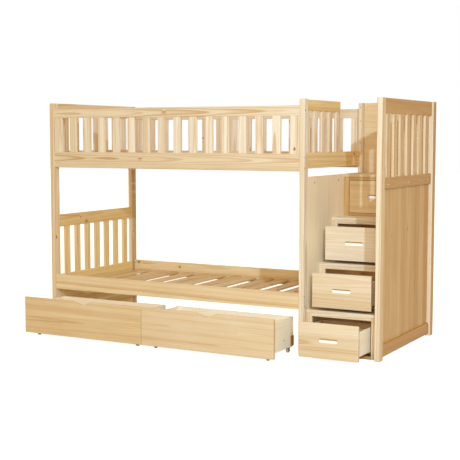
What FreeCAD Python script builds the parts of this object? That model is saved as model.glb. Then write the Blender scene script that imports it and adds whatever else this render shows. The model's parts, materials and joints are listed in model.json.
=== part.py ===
import FreeCAD, Part
import os
from types import SimpleNamespace

# Bunk bed with a storage staircase, in clear-finished pine.
#
# Three end frames (left, middle, right) stand on six posts. Bolted side rails join the left and
# the middle frame and carry two slatted decks. The bay between the middle and the right frame
# holds four stepped units, each a face frame with a drawer behind it. Two drawers on casters roll
# under the lower deck.
#
# Millimetres. X runs along the bed from the left end to the right end, Y from the front to the
# back and Z up from the floor. Lengths below are counted from the left end's outer face, from the
# posts' front faces and from the floor; place() moves them to the origin, which is the centre of
# the whole outline at floor level with the drawers pulled out as they are drawn here.

SIZES = [
    # Posts: six alike.
    ("post_width", 35, "along the bed"),
    ("post_depth", 60, "across the bed"),
    ("post_height", 1620, "floor to top"),
    ("edge_round", 3, "radius on the eased edges of posts, boards, slats and treads"),
    ("frame_depth", 1050, "front faces of the front posts to back faces of the back posts"),
    ("bed_inner_length", 1935, "between the left and the middle posts"),
    ("stair_bay_width", 480, "between the middle and the right posts"),
    # Joinery.
    ("slat_tenon_length", 10, "stub tenon of a slat in its board"),
    ("rail_tenon_length", 15, "tenon of an end board in its post"),
    ("tenon_shoulder", 5, "step from a board's face to its tenon"),
    ("bolt_radius", 3, "shank of a rail bolt"),
    ("bolt_head_radius", 5, "head of a rail bolt"),
    ("bolt_head_height", 4, ""),
    ("bolt_socket_size", 2.5, "corner radius of the hexagon socket"),
    ("bolt_socket_depth", 2.5, ""),
    ("bolt_sink", 5, "depth of the counterbore that hides the head"),
    ("bolt_engagement", 40, "length of the shank in the rail's end"),
    ("bolt_clearance", 0.5, "round the shank and the head, and past the shank's end"),
    ("bolt_edge_inset", 22, "bolt centre to the edge of a rail with two bolts"),
    # Side boards, front and back alike.
    ("side_recess", 4, "posts' faces to the side boards' faces"),
    ("side_board_thick", 22, ""),
    ("guard_drop", 40, "posts' tops to the guard board's top"),
    ("guard_board_height", 65, ""),
    ("upper_rail_bottom", 1164, ""),
    ("upper_rail_height", 111, ""),
    ("lower_rail_bottom", 284, ""),
    ("lower_rail_height", 107, ""),
    ("guard_stile_width", 70, "upright board beside each post"),
    ("slat_width", 57, "upright slats of guards and ends"),
    ("slat_thick", 18, "slats of the side guards"),
    ("guard_slat_count", 14, ""),
    # Decks.
    ("cleat_width", 22, ""),
    ("cleat_height", 20, ""),
    ("deck_slat_width", 76, ""),
    ("deck_slat_thick", 16, ""),
    ("deck_first_gap", 69, "left posts to the first slat"),
    ("deck_last_gap", 18, "last slat to the middle posts"),
    ("deck_wide_gap", 76, ""),
    ("deck_end_clearance", 2, "slat end to side rail"),
    # End frames.
    ("end_board_thick", 23, "left and right end boards"),
    ("end_slat_thick", 17, ""),
    ("end_slat_count", 7, ""),
    ("end_top_height", 93, "top boards of the left and the right end"),
    ("cross_rail_bottom", 1180, "left and middle ends"),
    ("cross_rail_height", 101, ""),
    ("headboard_top", 820, "top edge of the lower headboard"),
    ("headboard_top_height", 89, ""),
    ("headboard_foot_bottom", 18, "the deep board below the headboard's slats"),
    ("headboard_foot_height", 365, ""),
    ("middle_board_thick", 17, "boards of the middle end"),
    ("entry_guard_drop", 2, "posts' tops to the entry guard's top"),
    ("entry_guard_height", 71, ""),
    ("entry_guard_length", 560, "middle front post to the entry"),
    ("entry_slat_count", 3, ""),
    ("right_rail_bottom", 1061, "rail between the slats and the planks"),
    ("right_rail_height", 70, ""),
    ("right_foot_bottom", 18, "bottom rail of the right end"),
    ("right_foot_height", 73, ""),
    ("plank_thick", 8, ""),
    ("plank_round", 2, "radius on the long edges of a plank, which leaves a groove between two"),
    ("plank_count", 10, ""),
    ("spare_hole_radius", 3.5, "holes for fitting the entry guard at the other side"),
    ("spare_hole_depth", 30, ""),
    ("spare_hole_inset", 18, "hole centre to the stair side of the post"),
    ("spare_hole_drop_1", 32, "posts' tops to the holes"),
    ("spare_hole_drop_2", 126, ""),
    ("spare_hole_drop_3", 279, ""),
    # Staircase.
    ("side_panel_thick", 18, ""),
    ("side_panel_bottom", 20, ""),
    ("back_panel_inset", 31, "posts' back faces to the back panel's front face"),
    ("back_panel_thick", 17, ""),
    ("back_panel_bottom", 20, ""),
    ("first_frame_front", 45, "posts' front faces to the first face frame"),
    ("step_run", 202, ""),
    ("step_rise", 282, ""),
    ("first_tread_top", 283, ""),
    ("tread_thick", 20, ""),
    ("frame_thick", 20, "face frames"),
    ("stile_width", 39, ""),
    ("top_rail_height", 21, "between the stiles, under the tread"),
    ("opening_height", 223, "drawer opening"),
    # Stair drawers.
    ("stair_drawer_pull", 205, "lower three drawers, pulled out"),
    ("stair_front_gap", 2, "round a drawer front in its opening"),
    ("stair_front_thick", 19, ""),
    ("front_round", 2, "radius on the edges of the drawer fronts"),
    ("stair_box_inset", 8, "front's end to box side"),
    ("stair_box_rise", 26, "front's bottom to box bottom"),
    ("stair_box_height", 152, ""),
    ("stair_box_side", 12, "thickness of sides and back"),
    ("stair_box_back_gap", 19, "top drawer's box to the back panel"),
    ("stair_floor_thick", 6, "plywood floor"),
    ("stair_floor_lift", 8, "box bottom to the floor's underside"),
    ("slot_width", 128, "finger slot"),
    ("slot_height", 25, ""),
    ("slot_depth", 11, "under its lip"),
    ("slot_land", 4, "upright strip at the slot's deepest"),
    ("slot_centre_rise", 113, "front's bottom to the slot's centre"),
    ("runner_thick", 12, ""),
    ("runner_lap", 12, "how far a box side rests in from its outer face"),
    ("runner_lip_height", 20, ""),
    ("slide_clearance", 0.3, ""),
    # Rolling drawers.
    ("bed_drawer_pull", 350, "posts' front faces to the drawers' front faces"),
    ("bed_front_gap", 2, "between the fronts and beside the posts"),
    ("bed_front_bottom", 25, ""),
    ("bed_front_height", 249, ""),
    ("bed_front_thick", 20, ""),
    ("notch_width", 160, "finger notch in the top edge, shoulders included"),
    ("notch_depth", 21, ""),
    ("notch_shoulder_radius", 60, "each side of the hollow, which meets both in one curve"),
    ("bed_box_inset", 48, "front's end to box side"),
    ("bed_box_bottom", 40, ""),
    ("bed_box_height", 192, ""),
    ("bed_box_side", 15, ""),
    ("bed_box_depth", 361, ""),
    ("bed_floor_thick", 9, ""),
    ("block_length", 42, "corner blocks at the back of each side"),
    ("block_thick", 5, ""),
    ("block_height", 64, ""),
    ("block_lift", 8, ""),
    # Casters.
    ("caster_side_inset", 22, "box side's outer face to the wheel's middle"),
    ("caster_front_inset", 50, "box front to the front wheels' axis"),
    ("caster_back_inset", 31, "box back to the back wheels' axis"),
    ("wheel_radius", 16, ""),
    ("wheel_width", 14, ""),
    ("wheel_round", 3, ""),
    ("wheel_play", 1, "wheel to each cheek of its fork"),
    ("axle_radius", 2.5, ""),
    ("axle_clearance", 0.3, "round the axle, in the wheel"),
    ("axle_fit", 0.1, "round the axle, in the fork"),
    ("axle_head_radius", 4, ""),
    ("axle_head_height", 1.5, ""),
    ("fork_metal", 2, ""),
    ("fork_width", 16, "along the drawer's travel"),
    ("fork_drop", 7, "axle's centre to the cheek's end"),
    ("plate_length", 40, ""),
    ("plate_width", 36, ""),
]
DECK_GAPS = "wnwwnwnwnwwnn"   # wide and narrow gaps between deck slats, from the left
STEPS = 4
PULLED_STEPS = 3              # the lower drawers, drawn pulled out; the top one is shut

doc = FreeCAD.newDocument("bunk_bed")
sheet = doc.addObject("Spreadsheet::Sheet", "sizes")
for row, (alias, value, remark) in enumerate(SIZES, 1):
    sheet.set(f"A{row}", str(value))
    sheet.setAlias(f"A{row}", alias)
    sheet.set(f"B{row}", remark)
doc.recompute()


class Size:
    """A length written as a formula on the sheet."""

    def __init__(self, formula):
        self.formula = formula

    def __add__(self, other):
        return Size(f"({self.formula} + {written(other)})")

    def __sub__(self, other):
        return Size(f"({self.formula} - {written(other)})")

    def __rsub__(self, other):
        return Size(f"({written(other)} - {self.formula})")

    def __mul__(self, other):
        return Size(f"({self.formula} * {written(other)})")

    def __truediv__(self, other):
        return Size(f"({self.formula} / {written(other)})")

    def __neg__(self):
        return Size(f"(-1 * {self.formula})")

    __radd__ = __add__
    __rmul__ = __mul__


def written(value):
    return value.formula if isinstance(value, Size) else repr(value)


def count(alias):
    """A number of copies, read from the sheet."""
    return int(sheet.get(alias))


s = SimpleNamespace(**{alias: Size(f"sizes.{alias}") for alias, _, _ in SIZES})

# ---- Places that pieces share ------------------------------------------------------------------

zero = Size("0")
bed_left = s.post_width
bed_right = bed_left + s.bed_inner_length
bay_left = bed_right + s.post_width
bay_right = bay_left + s.stair_bay_width
overall_length = bay_right + s.post_width
inner_y = (s.post_depth, s.frame_depth - s.post_depth)
origin_x = overall_length / 2
origin_y = (s.frame_depth - s.bed_drawer_pull) / 2

post_x = {
    "left": (zero, bed_left),
    "middle": (bed_right, bay_left),
    "right": (bay_right, overall_length),
}
post_y = {
    "front": (zero, s.post_depth),
    "back": (s.frame_depth - s.post_depth, s.frame_depth),
}
side_y = {
    "front": (s.side_recess, s.side_recess + s.side_board_thick),
    "back": (s.frame_depth - s.side_recess - s.side_board_thick, s.frame_depth - s.side_recess),
}
bed_x = (bed_left, bed_right)
bay_x = (bay_left, bay_right)

guard_board_z = (
    s.post_height - s.guard_drop - s.guard_board_height,
    s.post_height - s.guard_drop,
)
upper_rail_z = (s.upper_rail_bottom, s.upper_rail_bottom + s.upper_rail_height)
lower_rail_z = (s.lower_rail_bottom, s.lower_rail_bottom + s.lower_rail_height)
end_top_z = (s.post_height - s.end_top_height, s.post_height)
cross_rail_z = (s.cross_rail_bottom, s.cross_rail_bottom + s.cross_rail_height)
headboard_top_z = (s.headboard_top - s.headboard_top_height, s.headboard_top)
headboard_foot_z = (s.headboard_foot_bottom, s.headboard_foot_bottom + s.headboard_foot_height)
entry_guard_z = (
    s.post_height - s.entry_guard_drop - s.entry_guard_height,
    s.post_height - s.entry_guard_drop,
)
right_rail_z = (s.right_rail_bottom, s.right_rail_bottom + s.right_rail_height)
right_foot_z = (s.right_foot_bottom, s.right_foot_bottom + s.right_foot_height)

left_end_x = (bed_left - s.end_board_thick, bed_left)
middle_end_x = (bed_right, bed_right + s.middle_board_thick)
right_end_x = (bay_right, bay_right + s.end_board_thick)

back_panel_y = (
    s.frame_depth - s.back_panel_inset,
    s.frame_depth - s.back_panel_inset + s.back_panel_thick,
)
opening_x = (bay_left + s.stile_width, bay_right - s.stile_width)


def frame_front(step):
    """Front plane of a stair unit's face frame; the lowest unit is step 0."""
    return s.first_frame_front + s.step_run * step


def tread_top(step):
    return s.first_tread_top + s.step_rise * step


def unit_foot(step):
    return tread_top(step - 1) if step else zero


def opening_z(step):
    top = tread_top(step) - s.tread_thick - s.top_rail_height
    return top - s.opening_height, top


# ---- Making pieces -----------------------------------------------------------------------------

RUNS = {
    "x": ("Edge9", "Edge10", "Edge11", "Edge12"),
    "y": ("Edge2", "Edge4", "Edge6", "Edge8"),
    "z": ("Edge1", "Edge3", "Edge5", "Edge7"),
}
AXIS_TURNS = {
    "x": FreeCAD.Rotation(FreeCAD.Vector(0, 1, 0), 90),
    "y": FreeCAD.Rotation(FreeCAD.Vector(1, 0, 0), -90),
    "z": FreeCAD.Rotation(),
}
sub_parts = []


def bind(feature, **formulas):
    for name, value in formulas.items():
        feature.setExpression(name, written(value))


def place(feature, x, y, z):
    feature.setExpression("Placement.Base.x", written(x - origin_x))
    feature.setExpression("Placement.Base.y", written(y - origin_y))
    feature.setExpression("Placement.Base.z", written(z + 0))


def box(name, x, y, z):
    """A square-edged block between pairs of places."""
    block = doc.addObject("Part::Box", name)
    bind(block, Length=x[1] - x[0], Width=y[1] - y[0], Height=z[1] - z[0])
    place(block, x[0], y[0], z[0])
    return block


def board(name, x, y, z, run=None, radius=s.edge_round):
    """A planed board with eased edges: the four along its run, or all twelve."""
    body = doc.addObject("PartDesign::Body", name)
    blank = body.newObject("PartDesign::AdditiveBox", f"{name}_blank")
    bind(blank, Length=x[1] - x[0], Width=y[1] - y[0], Height=z[1] - z[0])
    easing = body.newObject("PartDesign::Fillet", f"{name}_easing")
    easing.Base = (blank, RUNS[run] if run else RUNS["x"] + RUNS["y"] + RUNS["z"])
    bind(easing, Radius=radius)
    place(body, x[0], y[0], z[0])
    return body


def rod(name, x, y, z, length, radius, axis):
    """A cylinder that starts at a point and runs along an axis."""
    cylinder = doc.addObject("Part::Cylinder", name)
    bind(cylinder, Height=length, Radius=radius)
    cylinder.Placement = FreeCAD.Placement(FreeCAD.Vector(), AXIS_TURNS[axis])
    place(cylinder, x, y, z)
    return cylinder


def together(name, pieces):
    """Separate solids kept as one item."""
    compound = doc.addObject("Part::Compound", name)
    compound.Links = pieces
    return compound


def joined(name, pieces):
    """One solid made from several overlapping or touching ones."""
    fusion = doc.addObject("Part::MultiFuse", name)
    fusion.Shapes = pieces
    return fusion


def cut(name, base, cutters):
    result = doc.addObject("Part::Cut", name)
    result.Base = base
    result.Tool = together(f"{name}_cutters", cutters) if len(cutters) > 1 else cutters[0]
    return result


def sub_part(label, feature):
    """Names a finished piece or group of like pieces."""
    feature.Label = label
    sub_parts.append(feature)
    return feature


def tenon(name, x, y, z, run, length, ends=(True, True)):
    """The core of a board, set in by the shoulder and run on past the ends that are let in."""
    spans = {"x": x, "y": y, "z": z}
    for axis, (low, high) in spans.items():
        if axis == run:
            spans[axis] = (
                low - length if ends[0] else low + length,
                high + length if ends[1] else high - length,
            )
        else:
            spans[axis] = (low + s.tenon_shoulder, high - s.tenon_shoulder)
    return box(name, spans["x"], spans["y"], spans["z"])


def upright(name, x, y, z):
    """An upright slat or stile with a stub tenon at each end, and the shape of its mortises."""
    core = tenon(f"{name}_tenon", x, y, z, "z", s.slat_tenon_length)
    return joined(name, [board(f"{name}_board", x, y, z, "z"), core]), core


def slat_row(name, across, span, thick, z, slats, along):
    """Evenly spaced slats between two uprights; along is the axis that the row runs on."""
    gap = (span[1] - span[0] - s.slat_width * slats) / (slats + 1)
    row = []
    for index in range(slats):
        low = span[0] + gap * (index + 1) + s.slat_width * index
        wide = (low, low + s.slat_width)
        deep = centred(across, thick)
        x, y = (wide, deep) if along == "x" else (deep, wide)
        row.append(upright(f"{name}_{index + 1}", x, y, z))
    return row


def middle(pair):
    return (pair[0] + pair[1]) / 2


def centred(pair, thick):
    return middle(pair) - thick / 2, middle(pair) + thick / 2


def end_board(name, x, z, y=inner_y, ends=(True, True)):
    """A board across the bed, tenoned into the posts."""
    core = tenon(f"{name}_tenon", x, y, z, "y", s.rail_tenon_length, ends)
    return joined(f"{name}_joined", [board(f"{name}_board", x, y, z, "y"), core]), core


# ---- Bolts between side boards and posts ---------------------------------------------------------

def bolt_heights():
    """Bolt centres up a post: one in the guard board, two in each rail."""
    heights = {"guard_board": [middle(guard_board_z)]}
    for rail, z in (("upper_rail", upper_rail_z), ("lower_rail", lower_rail_z)):
        heights[rail] = [z[0] + s.bolt_edge_inset, z[1] - s.bolt_edge_inset]
    return heights


def bolt(name, end, y, z):
    """A bolt sunk in a post's outer face, with its hole through the post and into the rail."""
    grip = s.post_width - s.bolt_sink
    shank_length = grip + s.bolt_engagement
    if end == "left":
        seat = post_x["left"][0] + s.bolt_sink
        head_start = seat - s.bolt_head_height
        socket_start = head_start
        sink_start = post_x["left"][0]
        shank_start = seat
        hole_start = seat
    else:
        seat = post_x["middle"][1] - s.bolt_sink
        head_start = seat
        socket_start = seat + s.bolt_head_height - s.bolt_socket_depth
        sink_start = seat
        shank_start = seat - shank_length
        hole_start = shank_start - s.bolt_clearance
    head = rod(f"{name}_head", head_start, y, z, s.bolt_head_height, s.bolt_head_radius, "x")
    shank = rod(f"{name}_shank", shank_start, y, z, shank_length, s.bolt_radius, "x")
    socket = doc.addObject("Part::Prism", f"{name}_socket")
    bind(socket, Circumradius=s.bolt_socket_size, Height=s.bolt_socket_depth)
    socket.Placement = FreeCAD.Placement(FreeCAD.Vector(), AXIS_TURNS["x"])
    place(socket, socket_start, y, z)
    fastener = cut(name, joined(f"{name}_blank", [head, shank]), [socket])
    hole = rod(f"{name}_hole", hole_start, y, z, shank_length + s.bolt_clearance,
               s.bolt_radius + s.bolt_clearance, "x")
    sink = rod(f"{name}_sink", sink_start, y, z, s.bolt_sink,
               s.bolt_head_radius + s.bolt_clearance, "x")
    return fastener, hole, sink


def make_bolts():
    """All rail bolts, with the holes that each post and each side board needs."""
    bolts, post_holes, board_holes = [], {}, {}
    for end in ("left", "middle"):
        for side in ("front", "back"):
            for member, heights in bolt_heights().items():
                for index, z in enumerate(heights, 1):
                    name = f"bolt_{end}_{side}_{member}_{index}"
                    fastener, hole, sink = bolt(name, end, middle(side_y[side]), z)
                    bolts.append(fastener)
                    post_holes.setdefault((end, side), []).extend([hole, sink])
                    board_holes.setdefault((member, side), []).append(hole)
    return bolts, post_holes, board_holes


bolts, post_holes, board_holes = make_bolts()
sub_part("rail_bolts", together("all_rail_bolts", bolts))

# ---- Side rails and guards -----------------------------------------------------------------------

slat_z = (upper_rail_z[1], guard_board_z[0])
for side, y in side_y.items():
    stile_y = centred(y, s.slat_thick)
    stiles = [
        upright(f"guard_stile_{side}_1", (bed_left, bed_left + s.guard_stile_width), stile_y, slat_z),
        upright(f"guard_stile_{side}_2", (bed_right - s.guard_stile_width, bed_right), stile_y, slat_z),
    ]
    between = (bed_left + s.guard_stile_width, bed_right - s.guard_stile_width)
    row = slat_row(f"guard_slat_{side}", y, between, s.slat_thick, slat_z,
                   count("guard_slat_count"), "x")
    uprights = [stiles[0]] + row + [stiles[1]]
    mortises = [core for _, core in uprights]
    sub_part(f"guard_slats_{side}", together(f"guard_uprights_{side}", [u for u, _ in uprights]))
    for member, z in (("guard_board", guard_board_z), ("upper_rail", upper_rail_z)):
        blank = board(f"{member}_{side}_blank", bed_x, y, z, "x")
        sub_part(f"{member}_{side}",
                 cut(f"{member}_{side}_cut", blank, mortises + board_holes[member, side]))
    blank = board(f"lower_rail_{side}_blank", bed_x, y, lower_rail_z, "x")
    sub_part(f"lower_rail_{side}",
             cut(f"lower_rail_{side}_cut", blank, board_holes["lower_rail", side]))

# ---- Decks: cleats on the rails' inner faces and slats across them -------------------------------

cleat_y = {
    "front": (side_y["front"][1], side_y["front"][1] + s.cleat_width),
    "back": (side_y["back"][0] - s.cleat_width, side_y["back"][0]),
}
deck_y = (side_y["front"][1] + s.deck_end_clearance, side_y["back"][0] - s.deck_end_clearance)
wide_gaps = DECK_GAPS.count("w")
narrow_gaps = DECK_GAPS.count("n")
deck_slats = len(DECK_GAPS) + 1
deck_narrow_gap = (
    s.bed_inner_length - s.deck_first_gap - s.deck_last_gap
    - s.deck_slat_width * deck_slats - s.deck_wide_gap * wide_gaps
) / narrow_gaps
for level, rail_z in (("lower", lower_rail_z), ("upper", upper_rail_z)):
    cleat_z = (rail_z[0], rail_z[0] + s.cleat_height)
    sub_part(f"{level}_deck_cleats", together(f"{level}_cleat_pair", [
        board(f"{level}_cleat_{side}", bed_x, y, cleat_z, "x") for side, y in cleat_y.items()
    ]))
    deck_z = (cleat_z[1], cleat_z[1] + s.deck_slat_thick)
    low = bed_left + s.deck_first_gap
    slats = []
    for index in range(deck_slats):
        slats.append(board(f"{level}_deck_slat_{index + 1}", (low, low + s.deck_slat_width),
                           deck_y, deck_z, "y"))
        if index < len(DECK_GAPS):
            gap = s.deck_wide_gap if DECK_GAPS[index] == "w" else deck_narrow_gap
            low = low + s.deck_slat_width + gap
    sub_part(f"{level}_deck_slats", together(f"{level}_slat_set", slats))

# ---- End frames ----------------------------------------------------------------------------------

post_mortises = {"left": [], "middle": [], "right": []}


def end_rail(label, end, x, z, mortises=(), y=inner_y, ends=(True, True)):
    """Adds one board of an end frame and remembers what its posts must make room for."""
    blank, core = end_board(label, x, z, y, ends)
    post_mortises[end].append(core)
    sub_part(label, cut(f"{label}_cut", blank, list(mortises)) if mortises else blank)


def slatted(label, end, x, lower_z, upper_z):
    """The slats between two boards of an end frame; gives back their mortises."""
    row = slat_row(f"{label}_slat", x, inner_y, s.end_slat_thick, (lower_z[1], upper_z[0]),
                   count("end_slat_count"), "y")
    sub_part(label, together(f"{label}_row", [slat for slat, _ in row]))
    return [core for _, core in row]


upper_row = slatted("left_end_slats", "left", left_end_x, cross_rail_z, end_top_z)
end_rail("left_end_top_board", "left", left_end_x, end_top_z, upper_row)
end_rail("left_end_cross_rail", "left", left_end_x, cross_rail_z, upper_row)
lower_row = slatted("headboard_slats", "left", left_end_x, headboard_foot_z, headboard_top_z)
end_rail("headboard_top_rail", "left", left_end_x, headboard_top_z, lower_row)
end_rail("headboard_bottom_rail", "left", left_end_x, headboard_foot_z, lower_row)

right_row = slatted("right_end_slats", "right", right_end_x, right_rail_z, end_top_z)
end_rail("right_end_top_board", "right", right_end_x, end_top_z, right_row)
end_rail("right_end_middle_rail", "right", right_end_x, right_rail_z, right_row)
end_rail("right_end_bottom_rail", "right", right_end_x, right_foot_z)

plank_width = (inner_y[1] - inner_y[0]) / count("plank_count")
sub_part("right_end_planks", together("plank_set", [
    board(f"plank_{index + 1}", (bay_right, bay_right + s.plank_thick),
          (inner_y[0] + plank_width * index, inner_y[0] + plank_width * (index + 1)),
          (right_foot_z[1], right_rail_z[0]), "z", s.plank_round)
    for index in range(count("plank_count"))
]))

entry_y = (inner_y[0], inner_y[0] + s.entry_guard_length)
entry_slat_z = (cross_rail_z[1], entry_guard_z[0])
entry_x = centred(middle_end_x, s.end_slat_thick)
entry_uprights = [
    upright("entry_stile_1", entry_x, (entry_y[0], entry_y[0] + s.guard_stile_width), entry_slat_z),
    upright("entry_stile_2", entry_x, (entry_y[1] - s.guard_stile_width, entry_y[1]), entry_slat_z),
] + slat_row("entry_slat", middle_end_x,
             (entry_y[0] + s.guard_stile_width, entry_y[1] - s.guard_stile_width),
             s.end_slat_thick, entry_slat_z, count("entry_slat_count"), "y")
entry_mortises = [core for _, core in entry_uprights]
sub_part("entry_guard_slats", together("entry_uprights", [u for u, _ in entry_uprights]))
end_rail("entry_guard_board", "middle", middle_end_x, entry_guard_z, entry_mortises,
         entry_y, (True, False))
end_rail("middle_end_cross_rail", "middle", middle_end_x, cross_rail_z, entry_mortises)

# ---- Posts ---------------------------------------------------------------------------------------

spare_holes = [
    rod(f"spare_hole_{index}", bay_left - s.spare_hole_inset, inner_y[1],
        s.post_height - drop, s.spare_hole_depth, s.spare_hole_radius, "y")
    for index, drop in enumerate(
        (s.spare_hole_drop_1, s.spare_hole_drop_2, s.spare_hole_drop_3), 1)
]
for end, x in post_x.items():
    for side, y in post_y.items():
        blank = board(f"post_{side}_{end}_blank", x, y, (zero, s.post_height))
        cutters = post_mortises[end] + post_holes.get((end, side), [])
        if (end, side) == ("middle", "back"):
            cutters = cutters + spare_holes
        sub_part(f"post_{side}_{end}", cut(f"post_{side}_{end}_cut", blank, cutters))

# ---- Staircase: panels, treads, face frames and runners ------------------------------------------

landing = tread_top(STEPS - 1)
sub_part("stair_side_panel", board(
    "side_panel", (bay_left - s.side_panel_thick, bay_left), inner_y,
    (s.side_panel_bottom, landing), "z"))
sub_part("stair_back_panel", board(
    "back_panel", bay_x, back_panel_y, (s.back_panel_bottom, s.post_height), "z"))

treads = []
for step in range(STEPS):
    last = step == STEPS - 1
    back = back_panel_y[0] if last else frame_front(step + 1) + s.frame_thick
    treads.append(board(f"tread_{step + 1}", bay_x, (frame_front(step), back),
                        (tread_top(step) - s.tread_thick, tread_top(step)), "x"))
sub_part("stair_treads", together("tread_set", treads[:-1]))
sub_part("stair_landing_board", treads[-1])

stiles, frame_rails = [], []
for step in range(STEPS):
    y = (frame_front(step), frame_front(step) + s.frame_thick)
    tread_foot = tread_top(step) - s.tread_thick
    stile_z = (unit_foot(step), tread_foot)
    stiles.append(board(f"stile_left_{step + 1}", (bay_left, opening_x[0]), y, stile_z, "z"))
    stiles.append(board(f"stile_right_{step + 1}", (opening_x[1], bay_right), y, stile_z, "z"))
    frame_rails.append(board(f"frame_rail_low_{step + 1}", opening_x, y,
                             (unit_foot(step), opening_z(step)[0]), "x"))
    frame_rails.append(board(f"frame_rail_top_{step + 1}", opening_x, y,
                             (opening_z(step)[1], tread_foot), "x"))
sub_part("stair_frame_stiles", together("stile_set", stiles))
sub_part("stair_frame_rails", together("frame_rail_set", frame_rails))

stair_front_x = (opening_x[0] + s.stair_front_gap, opening_x[1] - s.stair_front_gap)
stair_box_x = (stair_front_x[0] + s.stair_box_inset, stair_front_x[1] - s.stair_box_inset)
stair_box_depth = (back_panel_y[0] - frame_front(STEPS - 1)
                   - s.stair_front_thick - s.stair_box_back_gap)
runner_length = back_panel_y[0] - frame_front(STEPS - 1) - s.frame_thick


def stair_box_z(step):
    foot = opening_z(step)[0] + s.stair_front_gap + s.stair_box_rise
    return foot, foot + s.stair_box_height


runners = []
for step in range(STEPS):
    y = (frame_front(step) + s.frame_thick, frame_front(step) + s.frame_thick + runner_length)
    foot = stair_box_z(step)[0]
    ledge_z = (foot - s.runner_thick, foot)
    lip_z = (foot - s.runner_thick, foot + s.runner_lip_height)
    for hand, ledge_x, lip_x in (
        ("left", (bay_left, stair_box_x[0] + s.runner_lap),
         (bay_left, stair_box_x[0] - s.slide_clearance)),
        ("right", (stair_box_x[1] - s.runner_lap, bay_right),
         (stair_box_x[1] + s.slide_clearance, bay_right)),
    ):
        name = f"runner_{hand}_{step + 1}"
        runners.append(joined(name, [box(f"{name}_ledge", ledge_x, y, ledge_z),
                                     box(f"{name}_lip", lip_x, y, lip_z)]))
sub_part("stair_drawer_runners", together("runner_set", runners))

# ---- Stair drawers -------------------------------------------------------------------------------


def finger_slot(name, x, y, z):
    """Cutter for a scooped slot with round ends: its back slopes in and up to a lip at the top."""
    radius = s.slot_height / 2
    reach = s.slot_width / 2 - radius
    stadium = joined(f"{name}_outline", [
        box(f"{name}_middle", (x - reach, x + reach), (y, y + s.slot_depth),
            (z - radius, z + radius)),
        rod(f"{name}_left", x - reach, y, z, s.slot_depth, radius, "y"),
        rod(f"{name}_right", x + reach, y, z, s.slot_depth, radius, "y"),
    ])
    scoop = doc.addObject("Part::Wedge", f"{name}_scoop")
    bind(scoop, Xmin=zero, X2min=zero, Xmax=s.slot_width, X2max=s.slot_width,
         Ymin=zero, Ymax=s.slot_depth, Zmin=zero, Zmax=s.slot_height,
         Z2min=s.slot_height - s.slot_land, Z2max=s.slot_height)
    place(scoop, x - s.slot_width / 2, y, z - radius)
    slot = doc.addObject("Part::MultiCommon", name)
    slot.Shapes = [stadium, scoop]
    return slot


def drawer_box(name, x, y, z, side, floor_thick, floor_lift, radius):
    """Two sides, a back between them and a floor let in between all of them."""
    inner_x = (x[0] + side, x[1] - side)
    floor_z = (z[0] + floor_lift, z[0] + floor_lift + floor_thick)
    return together(name, [
        board(f"{name}_left", (x[0], inner_x[0]), y, z, "y", radius),
        board(f"{name}_right", (inner_x[1], x[1]), y, z, "y", radius),
        board(f"{name}_back", inner_x, (y[1] - side, y[1]), z, "x", radius),
        box(f"{name}_floor", inner_x, (y[0], y[1] - side), floor_z),
    ])


for step in range(STEPS):
    pull = s.stair_drawer_pull if step < PULLED_STEPS else zero
    face = frame_front(step) - pull
    front_y = (face, face + s.stair_front_thick)
    front_z = (opening_z(step)[0] + s.stair_front_gap, opening_z(step)[1] - s.stair_front_gap)
    name = f"stair_drawer_front_{step + 1}"
    blank = board(f"{name}_blank", stair_front_x, front_y, front_z, None, s.front_round)
    slot = finger_slot(f"{name}_slot", middle(stair_front_x), face,
                       front_z[0] + s.slot_centre_rise)
    sub_part(name, cut(f"{name}_cut", blank, [slot]))
    sub_part(f"stair_drawer_box_{step + 1}", drawer_box(
        f"stair_box_{step + 1}", stair_box_x, (front_y[1], front_y[1] + stair_box_depth),
        stair_box_z(step), s.stair_box_side, s.stair_floor_thick, s.stair_floor_lift,
        s.front_round))

# ---- Rolling drawers -----------------------------------------------------------------------------

bed_front_width = (s.bed_inner_length - s.bed_front_gap * 3) / 2
bed_face = -s.bed_drawer_pull
bed_front_y = (bed_face, bed_face + s.bed_front_thick)
bed_front_z = (s.bed_front_bottom, s.bed_front_bottom + s.bed_front_height)
bed_box_y = (bed_front_y[1], bed_front_y[1] + s.bed_box_depth)
bed_box_z = (s.bed_box_bottom, s.bed_box_bottom + s.bed_box_height)
cheek_gap = s.wheel_width / 2 + s.wheel_play


def finger_notch(name, x, y, top):
    """Cutter for a soft notch: a hollow between two rounded shoulders that it meets smoothly."""
    half = s.notch_width / 2
    centres = (half * half + s.notch_depth * s.notch_depth) / (s.notch_depth * 2)
    hollow_radius = centres - s.notch_shoulder_radius
    hollow_z = top - s.notch_depth + hollow_radius
    shoulder_z = top - s.notch_shoulder_radius
    meeting_z = hollow_z + (shoulder_z - hollow_z) * hollow_radius / centres
    hollow = rod(f"{name}_hollow", x, y, hollow_z, s.bed_front_thick, hollow_radius, "y")
    shoulders = cut(f"{name}_shoulders", box(
        f"{name}_opening", (x - half, x + half), (y, y + s.bed_front_thick), (meeting_z, top)), [
        rod(f"{name}_shoulder_{side}", edge, y, shoulder_z, s.bed_front_thick,
            s.notch_shoulder_radius, "y")
        for side, edge in (("left", x - half), ("right", x + half))])
    return joined(name, [hollow, shoulders])


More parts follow.
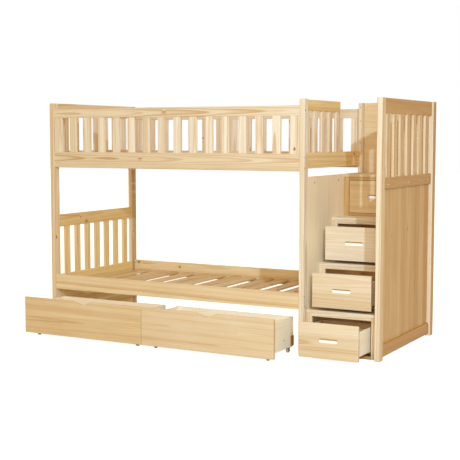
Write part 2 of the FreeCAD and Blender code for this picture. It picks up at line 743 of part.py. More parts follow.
def caster(name, x, y):
    """A fixed fork with its riveted axle, and the wheel between its cheeks."""
    plate_z = (s.bed_box_bottom - s.fork_metal, s.bed_box_bottom)
    cheek_y = (y - s.fork_width / 2, y + s.fork_width / 2)
    cheek_z = (s.wheel_radius - s.fork_drop, plate_z[1])
    outer = cheek_gap + s.fork_metal
    metal = joined(f"{name}_metal", [
        box(f"{name}_plate", (x - s.plate_length / 2, x + s.plate_length / 2),
            (y - s.plate_width / 2, y + s.plate_width / 2), plate_z),
        box(f"{name}_cheek_left", (x - outer, x - cheek_gap), cheek_y, cheek_z),
        box(f"{name}_cheek_right", (x + cheek_gap, x + outer), cheek_y, cheek_z),
    ])
    fork = cut(f"{name}_fork", metal, [
        rod(f"{name}_axle_hole", x - outer, y, s.wheel_radius, outer * 2,
            s.axle_radius + s.axle_fit, "x")])
    axle = joined(f"{name}_axle", [
        rod(f"{name}_pin", x - outer, y, s.wheel_radius, outer * 2, s.axle_radius, "x"),
        rod(f"{name}_head_left", x - outer - s.axle_head_height, y, s.wheel_radius,
            s.axle_head_height, s.axle_head_radius, "x"),
        rod(f"{name}_head_right", x + outer, y, s.wheel_radius,
            s.axle_head_height, s.axle_head_radius, "x"),
    ])
    return [fork, axle], caster_wheel(f"{name}_wheel", x, y)


def caster_wheel(name, x, y):
    """A turned wheel with rounded rims, bored for its axle."""
    body = doc.addObject("PartDesign::Body", name)
    disc = body.newObject("PartDesign::AdditiveCylinder", f"{name}_disc")
    bind(disc, Radius=s.wheel_radius, Height=s.wheel_width)
    rims = body.newObject("PartDesign::Fillet", f"{name}_rims")
    rims.Base = (disc, ("Edge1", "Edge3"))
    bind(rims, Radius=s.wheel_round)
    body.Placement = FreeCAD.Placement(FreeCAD.Vector(), AXIS_TURNS["x"])
    place(body, x - s.wheel_width / 2, y, s.wheel_radius)
    bore = rod(f"{name}_bore", x - s.wheel_width / 2, y, s.wheel_radius, s.wheel_width,
               s.axle_radius + s.axle_clearance, "x")
    return cut(f"{name}_bored", body, [bore])


for index, hand in enumerate(("left", "right")):
    low = bed_left + s.bed_front_gap + (bed_front_width + s.bed_front_gap) * index
    front_x = (low, low + bed_front_width)
    name = f"bed_drawer_front_{hand}"
    blank = board(f"{name}_blank", front_x, bed_front_y, bed_front_z, None, s.front_round)
    notch = finger_notch(f"{name}_notch", middle(front_x), bed_front_y[0], bed_front_z[1])
    sub_part(name, cut(f"{name}_cut", blank, [notch]))
    box_x = (front_x[0] + s.bed_box_inset, front_x[1] - s.bed_box_inset)
    sub_part(f"bed_drawer_box_{hand}", drawer_box(
        f"bed_box_{hand}", box_x, bed_box_y, bed_box_z, s.bed_box_side,
        s.bed_floor_thick, zero, s.front_round))
    block_y = (bed_box_y[1] - s.block_length, bed_box_y[1])
    block_z = (s.bed_box_bottom + s.block_lift, s.bed_box_bottom + s.block_lift + s.block_height)
    sub_part(f"bed_drawer_blocks_{hand}", together(f"block_pair_{hand}", [
        box(f"block_{hand}_1", (box_x[0] - s.block_thick, box_x[0]), block_y, block_z),
        box(f"block_{hand}_2", (box_x[1], box_x[1] + s.block_thick), block_y, block_z),
    ]))
    forks = []
    for row, y in (("front", bed_box_y[0] + s.caster_front_inset),
                   ("back", bed_box_y[1] - s.caster_back_inset)):
        wheels = []
        for number, x in enumerate((box_x[0] + s.caster_side_inset,
                                    box_x[1] - s.caster_side_inset), 1):
            metal, wheel = caster(f"caster_{hand}_{row}_{number}", x, y)
            forks.extend(metal)
            wheels.append(wheel)
        sub_part(f"bed_drawer_wheels_{hand}_{row}", together(f"wheel_pair_{hand}_{row}", wheels))
    sub_part(f"bed_drawer_casters_{hand}", together(f"caster_set_{hand}", forks))

# ---- Check and write -----------------------------------------------------------------------------

doc.recompute()
for feature in doc.Objects:
    if "Invalid" in feature.State or "Error" in feature.State:
        raise RuntimeError(f"{feature.Label} could not be made: {feature.State}")
for feature in sub_parts:
    if feature.Shape.isNull() or not feature.Shape.isValid():
        raise RuntimeError(f"{feature.Label} has no sound shape")

os.makedirs("parts", exist_ok=True)
for feature in sub_parts:
    feature.Shape.exportStep(f"parts/{feature.Label}.step")
print(len(sub_parts), "nodes,", sum(len(feature.Shape.Solids) for feature in sub_parts), "solids")
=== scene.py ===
import json
import math
import random

import bpy
import numpy as np
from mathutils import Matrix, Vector


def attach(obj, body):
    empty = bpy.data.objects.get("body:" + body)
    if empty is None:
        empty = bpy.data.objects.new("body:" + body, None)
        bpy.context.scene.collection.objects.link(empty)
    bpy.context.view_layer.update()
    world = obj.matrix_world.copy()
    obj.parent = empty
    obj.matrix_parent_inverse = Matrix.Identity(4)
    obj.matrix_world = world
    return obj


# Bunk bed with a storage staircase: the finish of its pine, its drawers, bolts and casters, on a
# white studio floor. Metres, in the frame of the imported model.

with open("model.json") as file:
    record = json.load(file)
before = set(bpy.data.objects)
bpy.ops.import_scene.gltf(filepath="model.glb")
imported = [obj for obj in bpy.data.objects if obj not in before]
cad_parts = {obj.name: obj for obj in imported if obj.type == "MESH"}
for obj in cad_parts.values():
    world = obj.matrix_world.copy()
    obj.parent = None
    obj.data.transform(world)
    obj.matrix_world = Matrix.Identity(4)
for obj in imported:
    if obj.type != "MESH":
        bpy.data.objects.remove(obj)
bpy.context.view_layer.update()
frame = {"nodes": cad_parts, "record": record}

# ---- Camera and light ----------------------------------------------------------------------------

CAMERA_PLACE = (3.499, -6.353, 1.3816)
CAMERA_AZIMUTH = 28.69          # degrees that it looks to the left of straight back
CAMERA_TILT = 5.08              # degrees below level
CAMERA_LENS = 82.0              # millimetres, on a sensor of SENSOR_WIDTH
SENSOR_WIDTH = 36.0
CAMERA_REACH = 100.0

KEY_PLACE = (4.86, -5.65, 3.45)
KEY_TARGET = (0.3, 0.0, 0.8)
KEY_POWER = 250.0
KEY_SIZE = 0.10                 # small, for the photograph's hard shadows
KEY_COLOUR = (0.62, 0.89, 1.20)
FILL_PLACE = (3.2, -6.6, 2.0)
FILL_TARGET = (0.2, 0.0, 0.8)
FILL_POWER = 138.0
FILL_SIZE = 2.5
FILL_COLOUR = (0.84, 0.95, 1.00)
BOUNCE_PLACE = (0.985, 0.50, 0.40)
BOUNCE_POWER = 0.40             # light that the wood inside the staircase passes on
BOUNCE_SIZE = 0.10
BOUNCE_COLOUR = (1.0, 0.62, 0.26)
AMBIENT_COLOUR = (1.0, 0.79, 0.44, 1.0)
AMBIENT_STRENGTH = 0.76
WHITE = (1.0, 1.0, 1.0, 1.0)


def make_camera():
    camera = bpy.data.objects.new("camera", bpy.data.cameras.new("camera"))
    camera.location = CAMERA_PLACE
    camera.rotation_euler = (math.radians(90 - CAMERA_TILT), 0, math.radians(CAMERA_AZIMUTH))
    camera.data.lens = CAMERA_LENS
    camera.data.sensor_width = SENSOR_WIDTH
    camera.data.clip_end = CAMERA_REACH
    bpy.context.scene.collection.objects.link(camera)
    bpy.context.scene.camera = camera


def make_lamp(name, kind, place, power, colour):
    lamp = bpy.data.objects.new(name, bpy.data.lights.new(name, kind))
    lamp.location = place
    lamp.data.energy = power
    lamp.data.color = colour
    bpy.context.scene.collection.objects.link(lamp)
    return lamp


def make_softbox(name, place, target, power, size, colour):
    """A round lamp that faces its target."""
    lamp = make_lamp(name, "AREA", place, power, colour)
    lamp.rotation_euler = (Vector(target) - Vector(place)).to_track_quat("-Z", "Y").to_euler()
    lamp.data.shape = "DISK"
    lamp.data.size = size


# ---- Writing materials ---------------------------------------------------------------------------

class Value:
    """An output of a node; arithmetic on it adds Math nodes."""

    def __init__(self, nodes, socket):
        self.nodes = nodes
        self.socket = socket

    def maths(self, operation, *values, clamp=False):
        return self.nodes.add("ShaderNodeMath", dict(enumerate(values)),
                              operation=operation, use_clamp=clamp)

    def __add__(self, other):
        return self.maths("ADD", self, other)

    def __sub__(self, other):
        return self.maths("SUBTRACT", self, other)

    def __rsub__(self, other):
        return self.maths("SUBTRACT", other, self)

    def __mul__(self, other):
        return self.maths("MULTIPLY", self, other)

    def __truediv__(self, other):
        return self.maths("DIVIDE", self, other)

    __radd__ = __add__
    __rmul__ = __mul__

    def root(self):
        return self.maths("SQRT", self)

    def floor(self):
        return self.maths("FLOOR", self)

    def part(self):
        """What is left over the whole number below."""
        return self.maths("FRACT", self)

    def clamped(self):
        return self.maths("ADD", self, 0.0, clamp=True)

    def step(self, low, high):
        """0 at low and 1 at high, smooth between them."""
        return self.nodes.add(
            "ShaderNodeMapRange",
            {"Value": self, "From Min": low, "From Max": high, "To Min": 0.0, "To Max": 1.0},
            interpolation_type="SMOOTHSTEP", clamp=True)

    def between(self, low, high, edge):
        """1 from low to high, with soft edges inside them."""
        return self.step(low, low + edge) * (1.0 - self.step(high - edge, high))


class Nodes:
    """The node tree of one material."""

    def __init__(self, tree):
        self.tree = tree
        self.tree.nodes.clear()

    def connect(self, value, socket):
        if isinstance(value, Value):
            self.tree.links.new(value.socket, socket)
        else:
            socket.default_value = value

    def add(self, kind, inputs=None, output=0, **settings):
        """Adds a node with its settings, then the values or links of its sockets."""
        node = self.tree.nodes.new(kind)
        for name, value in settings.items():
            setattr(node, name, value)
        for name, value in (inputs or {}).items():
            self.connect(value, node.inputs[name])
        return Value(self, node.outputs[output]) if node.outputs else None

    def attribute(self, name, output="Vector"):
        return self.add("ShaderNodeAttribute", output=output, attribute_name=name)

    def split(self, vector):
        return [self.add("ShaderNodeSeparateXYZ", {0: vector}, output=axis) for axis in range(3)]

    def vector(self, x, y, z):
        return self.add("ShaderNodeCombineXYZ", {0: x, 1: y, 2: z})

    def noise(self, vector, scale=1.0, detail=2.0, roughness=0.5):
        return self.add("ShaderNodeTexNoise", {"Vector": vector, "Scale": scale,
                                               "Detail": detail, "Roughness": roughness})

    def chance(self, seed):
        """A number from 0 to 1 that hangs on the seed alone."""
        return self.add("ShaderNodeTexWhiteNoise", {"W": seed}, noise_dimensions="1D")

    def mix(self, factor, first, second, blend="MIX"):
        """A colour between two others; the Mix node's colour sockets are 6 and 7, and 2 comes out."""
        return self.add("ShaderNodeMix", {0: factor, 6: first, 7: second}, output=2,
                        data_type="RGBA", blend_type=blend)


def new_material(name):
    material = bpy.data.materials.new(name)
    material.use_nodes = True
    return material, Nodes(material.node_tree)


def rgb(red, green, blue):
    """A colour from its screen values of 0 to 255."""
    def linear(value):
        share = value / 255
        return share / 12.92 if share <= 0.04045 else ((share + 0.055) / 1.055) ** 2.4
    return (linear(red), linear(green), linear(blue), 1.0)


# ---- Pine ----------------------------------------------------------------------------------------

PINE = (rgb(247, 236, 218), rgb(228, 203, 164), rgb(192, 149, 84))  # at the tones 0, 0.5 and 1
PALE_PINE = (rgb(253, 245, 228), *PINE[1:])
BLOCK_PINE = (rgb(196, 146, 84), rgb(176, 126, 66), rgb(140, 92, 40))
LATE = rgb(212, 180, 134)       # the dark side of a year's ring
KNOT = rgb(146, 94, 48)
FRESH_PINE_AND_HIGHLIGHT = rgb(254, 249, 242)   # in the hollow of a finger slot: fresh wood, painted near-white partly as a painted highlight where it faces the light
# painted shade under the lip of a finger slot, at the top of its hollow
SCOOP_PAINTED_SHADE = rgb(200, 152, 92)
SHADE_HONEY = (1.0, 0.78, 0.24, 1.0)  # painted warm shade: multiplies the ground of boards that stand in shade

RING_GAP = 0.0068               # a year's growth
SUMMER_RISE = (0.15, 0.88)      # shares of a year in which the ring turns dark
SUMMER_FALL = (0.90, 1.0)
TRUNK_TAPER = 0.012
RING_WANDER = 0.020
STREAK = 46.0                   # good and poor years follow each other, 1 / metre
GOOD_YEARS = (0.34, 0.70)

WANDER_SCALE = (1.3, 6.0)       # 1 / metre, along the board and across it
FIBRE_SCALE = (4.0, 300.0)
CLOUD_SCALE = (3.0, 20.0)

STRIP_SHIFT = 7.0               # how far along the trunk the next strip of a panel is cut
STRIP_TONE = 0.16               # how much the strips of a panel differ
STRIP_PITH = 0.6                # nearest that a strip's pith comes, as a share of the panel's

KNOT_REACH = 3.6                # knot radii that its neighbour rings are pushed aside for
KNOT_PUSH = 1.5                 # how far it pushes them, in knot radii
KNOT_SLIM = 0.55                # below 1, a knot is longer along the board
KNOT_EDGE = (0.55, 1.05)        # in knot radii, where it fades out
KNOT_RAGS = 90.0                # 1 / metre
KNOT_RAGGED = 0.5               # knot radii that its edge wanders
KNOT_CHANGE = 40.0              # knots of unlike sizes get unlike edges
LEAST_KNOT = 0.0001

# How dark each layer is over the ground, from 0 to 1.
SUMMER_DARK = 0.16
GOOD_SUMMER_DARK = 0.52         # more, in good years
GOOD_YEAR_DARK = 0.36
FIBRE_DARK = 0.44
CLOUD_TONE = 0.36
BULGE_DARK = 0.55
BULGE_FULL = 60.0               # a ring that is pushed 1 / 60 metre aside has all of that
KNOT_DARK = 0.9
END_DARK = 0.6

# How much each layer stands up, against FIBRE_BUMP.
SUMMER_HEIGHT = 0.5
FIBRE_HEIGHT = 0.7
KNOT_DIP = 0.3
FIBRE_BUMP = 0.00025
BUMP_STRENGTH = 0.5

ROUGHNESS = 0.42
FIBRE_ROUGHNESS = 0.12
END_ROUGHNESS = 0.15
PINE_SHEEN = 0.35               # the specular level
SCOOP_PAINTED_SHADE_TOP = 0.0090        # behind the board's face: from here up the hollow is painted brown, a painted shade under the slot's lip
SCOOP_PAINTED_SHADE_WIDTH = 0.0015


def stretched(n, u, v, w, scale):
    along, across = scale
    return n.vector(u * along, v * across, w * across)


def knots_of(n):
    """How far the knots push the rings aside, and 1 inside a knot. A board has up to two."""
    bulge = knot = None
    for letter in "ab":
        along, across, size = n.split(n.attribute(f"knot_{letter}"))
        ragged = n.noise(n.vector(along, across, size * KNOT_CHANGE), scale=KNOT_RAGS, detail=1.0)
        distance = (along * along * KNOT_SLIM + across * across).root() / (size + LEAST_KNOT)
        near = 1.0 - distance.step(0.0, KNOT_REACH)
        push = near * near * size * KNOT_PUSH
        inside = 1.0 - (distance + (ragged - 0.5) * KNOT_RAGGED).step(*KNOT_EDGE)
        bulge = push if bulge is None else bulge + push
        knot = inside if knot is None else (knot + inside).clamped()
    return bulge, knot


def wood(name, ground_colours=PINE, contrast=1.0, strip=None):
    """Sawn pine: rings round a pith, fibres along the board, knots, and darker end grain, with a
    painted warm shade on boards in shade and painted light and shade in a finger slot's hollow.

    strip is the width of the strips that a panel is glued up from.
    """
    material, n = new_material(name)
    u, v, w = n.split(n.attribute("grain"))
    pith_v, pith_w, chance = n.split(n.attribute("pith"))
    tone, end, scoop_mask = n.split(n.attribute("finish"))
    depth_in = n.split(n.attribute("place"))[1]
    figure = n.attribute("figure", output="Fac")
    shade_gold = n.attribute("shade_gold", output="Fac")
    if strip:
        index = (v / strip).floor()
        first = n.chance(index + chance * 37.0)
        second = n.chance(index + chance * 91.0 + 0.5)
        u = u + first * STRIP_SHIFT
        v = v - (index + second) * strip
        pith_w = pith_w * (STRIP_PITH + second)
        tone = tone + (first - 0.5) * STRIP_TONE
    else:
        v = v - pith_v
    w = w - pith_w

    bulge, knot = knots_of(n)
    wander = n.noise(stretched(n, u, v, w, WANDER_SCALE), detail=2.0) - 0.5
    radius = (v * v + w * w).root() + wander * RING_WANDER + u * TRUNK_TAPER + bulge
    ring = (radius / RING_GAP).part()
    summer = ring.step(*SUMMER_RISE) * (1.0 - ring.step(*SUMMER_FALL))
    years = n.noise(n.vector(radius * STREAK, chance * 9.0, 0.0), detail=3.0, roughness=0.65)
    band = years.step(*GOOD_YEARS)
    fibre = n.noise(stretched(n, u, v, w, FIBRE_SCALE), detail=3.0, roughness=0.65)
    cloud = n.noise(stretched(n, u, v, w, CLOUD_SCALE), detail=2.0)

    depth = summer * (SUMMER_DARK + band * GOOD_SUMMER_DARK) + band * GOOD_YEAR_DARK
    depth = (depth + (fibre - 0.5) * FIBRE_DARK) * figure
    tone = tone + (cloud - 0.5) * CLOUD_TONE * figure
    ground = n.mix((tone * 2.0).clamped(), ground_colours[0], ground_colours[1])
    ground = n.mix((tone * 2.0 - 1.0).clamped(), ground, ground_colours[2])
    # Painted warm shade: boards that stand in shade are multiplied towards honey.
    ground = n.mix(shade_gold, ground, SHADE_HONEY, "MULTIPLY")
    colour = n.mix((depth * contrast).clamped(), ground, LATE, "MULTIPLY")
    colour = n.mix((bulge * BULGE_FULL).clamped() * BULGE_DARK, colour, LATE, "MULTIPLY")
    colour = n.mix(knot * KNOT_DARK, colour, KNOT)
    colour = n.mix(end * END_DARK, colour, LATE, "MULTIPLY")
    # Painted shade at the top of a finger slot's hollow, under its lip.
    scoop_painted_shade = (depth_in - SCOOP_PAINTED_SHADE_TOP).step(-SCOOP_PAINTED_SHADE_WIDTH, 0.0)
    # Below it the hollow is fresh wood, painted near-white partly as a painted highlight.
    colour = n.mix(scoop_mask, colour, n.mix(scoop_painted_shade, FRESH_PINE_AND_HIGHLIGHT, SCOOP_PAINTED_SHADE))

    height = summer * SUMMER_HEIGHT + fibre * FIBRE_HEIGHT - knot * KNOT_DIP
    bump = n.add("ShaderNodeBump", {"Height": height, "Strength": BUMP_STRENGTH,
                                    "Distance": FIBRE_BUMP})
    shader = n.add("ShaderNodeBsdfPrincipled", {
        "Base Color": colour,
        "Roughness": ROUGHNESS + fibre * FIBRE_ROUGHNESS + end * END_ROUGHNESS,
        "Specular IOR Level": PINE_SHEEN,
        "Normal": bump,
    })
    n.add("ShaderNodeOutputMaterial", {"Surface": shader})
    return material


# ---- Steel and nylon -----------------------------------------------------------------------------

TARNISH = rgb(90, 78, 60)
SCUFF = rgb(150, 128, 96)
BRUSH_SCALE = 900.0             # 1 / metre, as are the next two
STAIN_SCALE = 60.0
SCUFF_SCALE = 300.0


def metal(name, colour):
    material, n = new_material(name)
    place = n.add("ShaderNodeTexCoord", output="Object")
    brushed = n.noise(place, scale=BRUSH_SCALE, detail=2.0)
    stain = n.noise(place, scale=STAIN_SCALE, detail=2.0)
    shader = n.add("ShaderNodeBsdfPrincipled", {
        "Base Color": n.mix(stain * 0.5, colour, TARNISH),
        "Metallic": 0.9,
        "Roughness": 0.4 + brushed * 0.2,
    })
    n.add("ShaderNodeOutputMaterial", {"Surface": shader})
    return material


def nylon(name, colour):
    material, n = new_material(name)
    place = n.add("ShaderNodeTexCoord", output="Object")
    scuff = n.noise(place, scale=SCUFF_SCALE, detail=3.0)
    shader = n.add("ShaderNodeBsdfPrincipled", {
        "Base Color": n.mix(scuff * 0.35, colour, SCUFF),
        "Roughness": 0.45 + scuff * 0.2,
        "Subsurface Weight": 0.05,
    })
    n.add("ShaderNodeOutputMaterial", {"Surface": shader})
    return material


# ---- Grain frames: where each board lies in its trunk --------------------------------------------

TRUNK_LENGTH = 6.0              # the boards are cut anywhere along it
PITH_SIDEWAYS = 0.75            # the most that the pith lies off the board's middle, in widths
PITH_WIDTHS = (0.05, 0.12)      # a board counts as no narrower and no wider here
PITH_DEPTH = (0.018, 0.060)     # the pith lies this far over or under the board
KNOT_CHANCE = 0.05
KNOT_RADIUS = (0.004, 0.007)
KNOT_SPREAD = (0.46, 0.42)      # the most that a knot lies off the middle, in lengths and widths
NO_KNOT = (10.0, 10.0)          # too far off to show
CLEAR_WIDTH = 0.03              # narrower boards get no knots by chance
KNOT_MARGIN = 0.003             # a chosen knot may lie this far off its board
TONE_SPREAD = 0.07
FACING = 0.7                    # least share of a normal along an axis for a face to look that way
END_FACING = 0.9                # the same for the end of a board
SCOOP_FACING = 0.2              # and for the hollow of a finger slot, which curves
SCOOP_STARTS = 0.0005           # behind the board's face
INNER_MARGIN = 0.002
SAME_PLACE = 1e-6


def solids_of(mesh):
    """The polygons of each closed solid in a mesh, found by meeting every edge twice."""
    place_ids = {}
    ids = []
    for vertex in mesh.vertices:
        key = tuple(round(c / SAME_PLACE) for c in vertex.co)
        ids.append(place_ids.setdefault(key, len(place_ids)))
    solids, current, open_edges = [], [], set()
    for polygon in mesh.polygons:
        corners = [ids[i] for i in polygon.vertices]
        for a, b in zip(corners, corners[1:] + corners[:1]):
            if a != b:
                open_edges ^= {(min(a, b), max(a, b))}
        current.append(polygon.index)
        if not open_edges:
            solids.append(current)
            current = []
    if current:
        solids.append(current)
    return solids


def pick_knot(chance, found, centre, order, length, width):
    """The place of a knot along and across the board, and its radius; found holds chosen knots."""
    if found:
        *place, radius = found.pop()
        return (np.array(place) - centre)[order][:2], radius
    if chance.random() < KNOT_CHANCE and width > CLEAR_WIDTH:
        along, across = KNOT_SPREAD
        spot = (chance.uniform(-along, along) * length, chance.uniform(-across, across) * width)
        return spot, chance.uniform(*KNOT_RADIUS)
    return NO_KNOT, KNOT_RADIUS[0]


def is_inside(point, low, high):
    return all(low < point) and all(point < high)


def looks_along(normal, axis):
    """Whether a face looks along an axis such as -y."""
    return normal["xyz".index(axis[1])] * (1 if axis[0] == "+" else -1) > FACING


def tone_and_shade_of_face(polygon, board_tone, inner_shade_tone, inner_box, faces):
    tone = board_tone
    if inner_shade_tone is not None and is_inside(np.array(polygon.center), *inner_box):
        tone = inner_shade_tone
    for axis, face_light_and_shade in (faces or {}).items():
        if looks_along(polygon.normal, axis):
            tone = face_light_and_shade
    return tone


def lay_grain(node, chance, tone, figure=1.0, shade_gold=0.0, inner_shade_tone=None, faces=None, knots=(),
              boards=(), turned=False, scooped=False):
    """Gives each board of a node its own place in a trunk, its tone and its knots.

    figure is how strongly the grain shows, and shade_gold how far a board that stands in shade is
    painted towards honey, a painted warm shade. inner_shade_tone is the tone of the faces inside a
    box, a painted shade there. faces holds a tone for an axis, such as {"+x": 0.8}, painted light
    and shade on the sides of a node, and boards holds (point in the board, tone) for single boards,
    a painted shade on boards in shadow. A knot is (x, y, z, radius). The grain of a turned board
    runs across it, and the hollow in a scooped board's face is fresh wood, painted near-white partly
    as a painted highlight, with painted shade under its lip.
    """
    mesh = node.data
    count = len(mesh.vertices)
    places = np.empty(count * 3)
    mesh.vertices.foreach_get("co", places)
    places = places.reshape(-1, 3)
    fields = {name: np.zeros((count, 3)) for name in ("grain", "pith", "knot_a", "knot_b", "place")}
    finish = np.zeros((len(mesh.polygons), 3))
    inner_box = (places.min(0) + INNER_MARGIN, places.max(0) - INNER_MARGIN)
    for polygons in solids_of(mesh):
        members = sorted({i for p in polygons for i in mesh.polygons[p].vertices})
        points = places[members]
        low, high = points.min(0), points.max(0)
        order = np.argsort(-(high - low), kind="stable")
        if turned:
            order = order[[1, 0, 2]]
        centre = (low + high) / 2
        local = (points - centre)[:, order]
        length, width = (high - low)[order][:2]
        fields["grain"][members] = local + (chance.uniform(-0.5, 0.5) * TRUNK_LENGTH, 0, 0)
        fields["place"][members] = points - low
        narrowest, widest = PITH_WIDTHS
        fields["pith"][members] = (
            chance.uniform(-PITH_SIDEWAYS, PITH_SIDEWAYS) * min(max(width, narrowest), widest),
            chance.choice((-1, 1)) * chance.uniform(*PITH_DEPTH),
            chance.random(),
        )
        found = [knot for knot in knots
                 if is_inside(knot[:3], low - KNOT_MARGIN, high + KNOT_MARGIN)]
        for field in ("knot_a", "knot_b"):
            spot, radius = pick_knot(chance, found, centre, order, length, width)
            fields[field][members] = np.column_stack(
                (local[:, :2] - spot, np.full(len(members), radius)))
        board_tone = tone + chance.uniform(-1, 1) * TONE_SPREAD
        for place, own_tone in boards:
            if is_inside(place, low, high):
                board_tone = own_tone
        for polygon in (mesh.polygons[p] for p in polygons):
            is_end = abs(polygon.normal[order[0]]) > END_FACING
            is_sunk = polygon.center.y - low[1] > SCOOP_STARTS and polygon.normal.y < -SCOOP_FACING
            finish[polygon.index] = (tone_and_shade_of_face(polygon, board_tone, inner_shade_tone, inner_box, faces),
                                     float(is_end), float(scooped and is_sunk))
    for name, values in fields.items():
        mesh.attributes.new(name, "FLOAT_VECTOR", "POINT").data.foreach_set(
            "vector", values.ravel())
    mesh.attributes.new("finish", "FLOAT_VECTOR", "FACE").data.foreach_set(
        "vector", finish.ravel())
    for name, value in (("figure", figure), ("shade_gold", shade_gold)):
        mesh.attributes.new(name, "FLOAT", "POINT").data.foreach_set("value", [value] * count)


# ---- Finishes ------------------------------------------------------------------------------------

WOODS = {
    "pine": wood("pine"),
    "slat_pine": wood("slat_pine"),
    "panel_pine": wood("panel_pine", contrast=0.7, strip=0.094),
    "drawer_front_pine": wood("drawer_front_pine", contrast=0.65, strip=0.13),
    "drawer_box_wood": wood("drawer_box_wood", PALE_PINE, contrast=0.4),
    "block_wood": wood("block_wood", BLOCK_PINE),
}
FINISHES = {
    **WOODS,
    "caster_steel": metal("caster_steel", rgb(120, 88, 52)),
    "bolt_steel": metal("bolt_steel", rgb(110, 92, 70)),
    "wheel_nylon": nylon("wheel_nylon", rgb(214, 194, 156)),
}

# These four hold a value for the nodes whose names start so; the longest start counts. A tone is 0
# for the palest pine and 1 for the brownest.
TONES = {
    "left": 0.3, "left_end_slats": 0.0, "left_end_top": 0.45,
    "headboard": 0.12, "headboard_top": 0.24, "headboard_slats": 0.06,
    "middle_end": 0.06, "entry": 0.22, "entry_guard_board": 0.35,
    # The right end's browner tones are partly its own wood and partly painted shade on its outer
    # side.
    "right_end": 1.0, "right_end_planks": 0.83, "right_end_slats": 0.72,
    "stair": 0.03, "stair_side": 0.0, "stair_back": 0.33,
    "stair_treads": 0.12, "stair_landing": 0.5,
    # The runners' full brown is painted shade inside the drawer openings.
    "stair_drawer_runners": 1.0, "stair_drawer_box": 0.12,
    "stair_drawer_front_1": 0.3, "stair_drawer_front_2": 0.42,
    "stair_drawer_front_3": 0.22, "stair_drawer_front_4": 0.46,
    "bed_drawer_front_left": 0.47, "bed_drawer_front_right": 0.4, "bed_drawer_box": 0.05,
    "post_front_left": 0.22, "post_front_middle": 0.08, "post_front_right": 0.2,
    "post_back": 0.18,
    "guard_board": 0.2, "guard_slats_front": 0.04, "guard_slats_back": 0.0,
    "upper_rail": 0.22, "lower_rail_front": 0.24, "lower_rail_back": 0.0, "lower_deck": 0.42,
}
FIGURES = {
    "stair_side_panel": 0.35, "stair_drawer_box": 0.4, "bed_drawer_box": 0.4,
    "right_end_top_board": 0.6, "right_end_middle_rail": 0.6, "right_end_bottom_rail": 0.6,
}
# Painted warm shade: how far boards that stand in shade are tinted towards honey, for the warm light
# that the pine passes on.
SHADE_GOLDS = {
    "headboard": 0.7, "headboard_top": 0.62, "headboard_slats": 0.53,
    "middle_end": 0.6, "entry_guard_board": 0.6,
    "right_end_top_board": 0.32, "right_end_bottom_rail": 0.38, "right_end_planks": 0.2,
    "lower_rail_front": 0.28, "lower_rail_back": 0.44, "lower_deck": 0.48,
    "stair_side": 0.28, "stair_frame": 0.25, "stair_back": 0.2, "stair_drawer_front_4": 0.15,
    "bed_drawer_front_left": 0.12, "bed_drawer_box": 0.12, "post_front_left": 0.15,
}
# Painted shade: the faces inside the staircase's drawer boxes are painted brown.
INNER_SHADE_TONES = {"stair_drawer_box": 0.9}

# These are for one node each.
# Painted light and shade: sides of these nodes that face the light are painted paler, sides that face
# away browner.
FACE_LIGHT_AND_SHADE_TONES = {
    "post_front_left": {"+x": 0.28}, "post_front_middle": {"+x": 0.0},
    "post_front_right": {"+x": 0.60},
    "post_back_left": {"+x": 0.68}, "post_back_right": {"+x": 1.0, "-y": 0.05},
    "right_end_slats": {"-y": 0.3}, "right_end_top_board": {"-y": 0.3},
    "lower_deck_slats": {"-y": 0.1, "+x": 0.25},
}
# Painted shade: boards of the staircase's frames that stand in shadow, each found by a point inside
# it, get a browner tone.
BOARD_SHADE_TONES = {
    "stair_frame_stiles": [((0.764, 0.311, 0.97), 0.85)],
    "stair_frame_rails": [((0.985, 0.311, 0.86), 0.75), ((0.985, 0.311, 1.10), 0.6),
                          ((0.985, -0.295, 0.01), 0.9)],
}
KNOTS = {
    "guard_board_front": [(-0.296, -0.346, 1.548, 0.007)],
    "upper_rail_front": [(-0.491, -0.346, 1.234, 0.007)],
    "guard_slats_front": [(0.674, -0.344, 1.306, 0.009)],
    "stair_side_panel": [(0.745, -0.186, 1.089, 0.006), (0.745, 0.206, 1.091, 0.006)],
    "headboard_top_rail": [(-1.225, -0.043, 0.787, 0.006), (-1.225, 0.028, 0.750, 0.010)],
    "post_front_left": [(-1.225, -0.335, 0.660, 0.008)],
    "lower_rail_back": [(-1.184, 0.674, 0.376, 0.010), (-0.800, 0.674, 0.356, 0.008)],
    "headboard_slats": [(-1.228, 0.501, 0.473, 0.007)],
    "middle_end_cross_rail": [(0.727, 0.528, 1.259, 0.010)],
    "right_end_middle_rail": [(1.248, 0.568, 1.094, 0.007)],
}
TURNED = ("stair_back_panel",)


def by_start(table, name, otherwise):
    """What a table holds for the longest start of the name that it has."""
    starts = [start for start in table if name.startswith(start)]
    return table[max(starts, key=len)] if starts else otherwise


def finish_nodes():
    slots = {part["node"]: part["material_slot"] for part in frame["record"]["subparts"]}
    for number, (name, node) in enumerate(sorted(frame["nodes"].items())):
        finish = slots[name]
        node.data.materials.clear()
        node.data.materials.append(FINISHES[finish])
        if finish in WOODS:
            lay_grain(
                node,
                random.Random(number + 1),
                by_start(TONES, name, 0.35),
                figure=by_start(FIGURES, name, 1.0),
                shade_gold=by_start(SHADE_GOLDS, name, 0.0),
                inner_shade_tone=by_start(INNER_SHADE_TONES, name, None),
                faces=FACE_LIGHT_AND_SHADE_TONES.get(name),
                knots=KNOTS.get(name, ()),
                boards=BOARD_SHADE_TONES.get(name, ()),
                turned=name in TURNED,
                scooped=name.startswith("stair_drawer_front"),
            )


# ---- Plugs over the screws of the right end's middle rail ----------------------------------------

PLUG_FACE = 1.248
PLUG_PLACES = ((-0.200, 1.086), (0.181, 1.089), (0.568, 1.094))
PLUG_PROFILE = ((0.0050, -0.0005), (0.0050, 0.0003), (0.0044, 0.0009), (0.0026, 0.0012))
PLUG_SIDES = 24


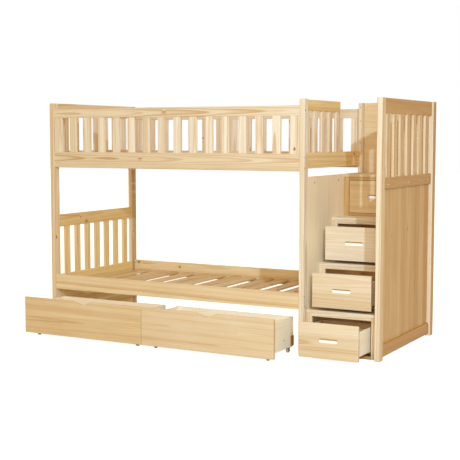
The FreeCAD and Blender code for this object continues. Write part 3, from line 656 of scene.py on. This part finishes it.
def make_plugs():
    """Low domes, turned about X; each profile point is (radius, height over the rail)."""
    vertices, faces = [], []
    for place_y, place_z in PLUG_PLACES:
        start = len(vertices)
        for radius, height in PLUG_PROFILE:
            for side in range(PLUG_SIDES):
                turn = 2 * math.pi * side / PLUG_SIDES
                vertices.append((PLUG_FACE + height, place_y + radius * math.cos(turn),
                                 place_z + radius * math.sin(turn)))
        for ring in range(len(PLUG_PROFILE) - 1):
            for side in range(PLUG_SIDES):
                a = start + ring * PLUG_SIDES + side
                b = start + ring * PLUG_SIDES + (side + 1) % PLUG_SIDES
                faces.append((a, b, b + PLUG_SIDES, a + PLUG_SIDES))
        last = start + (len(PLUG_PROFILE) - 1) * PLUG_SIDES
        faces.append(tuple(range(last, last + PLUG_SIDES)))
        faces.append(tuple(range(start + PLUG_SIDES - 1, start - 1, -1)))
    mesh = bpy.data.meshes.new("rail_plugs")
    mesh.from_pydata(vertices, [], faces)
    mesh.materials.append(FINISHES["pine"])
    plugs = bpy.data.objects.new("rail_plugs", mesh)
    bpy.context.scene.collection.objects.link(plugs)
    lay_grain(plugs, random.Random(7), 0.0, figure=0.5)
    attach(plugs, "bed")


# ---- Studio --------------------------------------------------------------------------------------

FLOOR_HALF = 30.0
FLOOR_COLOUR = (0.55, 0.47, 0.36, 1.0)
FLOOR_GLOW = 0.92               # what the camera sees of the floor in full shade
BAY_X = (0.745, 1.225)          # the staircase stands here, and its floor doesn't glow
BAY_Y = (-0.290, 0.670)
BAY_EDGE = 0.01


def seen_directly(n):
    """1 for what the camera sees, also in a mirror or through glass."""
    camera, glossy, through = (n.add("ShaderNodeLightPath", output=f"Is {kind} Ray")
                               for kind in ("Camera", "Glossy", "Transmission"))
    return (camera + glossy + through).clamped()


def make_floor():
    mesh = bpy.data.meshes.new("studio_floor")
    half = FLOOR_HALF
    mesh.from_pydata([(-half, -half, 0), (half, -half, 0), (half, half, 0), (-half, half, 0)],
                     [], [(0, 1, 2, 3)])
    floor = bpy.data.objects.new("studio_floor", mesh)
    bpy.context.scene.collection.objects.link(floor)
    material, n = new_material("studio_floor")
    plain = n.add("ShaderNodeBsdfDiffuse", {"Color": FLOOR_COLOUR})
    glow = n.add("ShaderNodeEmission", {"Color": WHITE, "Strength": FLOOR_GLOW})
    lit = n.add("ShaderNodeAddShader", {0: plain, 1: glow})
    x, y = n.split(n.add("ShaderNodeNewGeometry", output="Position"))[:2]
    under = x.between(*BAY_X, BAY_EDGE) * y.between(*BAY_Y, BAY_EDGE)
    both = n.add("ShaderNodeMixShader", {0: seen_directly(n) * (1.0 - under), 1: plain, 2: lit})
    n.add("ShaderNodeOutputMaterial", {"Surface": both})
    mesh.materials.append(material)


def make_world():
    world = bpy.data.worlds.new("studio")
    bpy.context.scene.world = world
    world.use_nodes = True
    n = Nodes(world.node_tree)
    ambient = n.add("ShaderNodeBackground", {"Color": AMBIENT_COLOUR,
                                             "Strength": AMBIENT_STRENGTH})
    white = n.add("ShaderNodeBackground", {"Color": WHITE, "Strength": 1.0})
    both = n.add("ShaderNodeMixShader", {0: seen_directly(n), 1: ambient, 2: white})
    n.add("ShaderNodeOutputWorld", {"Surface": both})


finish_nodes()
make_plugs()
make_camera()
make_softbox("key", KEY_PLACE, KEY_TARGET, KEY_POWER, KEY_SIZE, KEY_COLOUR)
make_softbox("fill", FILL_PLACE, FILL_TARGET, FILL_POWER, FILL_SIZE, FILL_COLOUR)
bounce = make_lamp("bay_bounce", "POINT", BOUNCE_PLACE, BOUNCE_POWER, BOUNCE_COLOUR)
bounce.data.shadow_soft_size = BOUNCE_SIZE
make_floor()
make_world()
bpy.context.scene.view_settings.view_transform = "Standard"
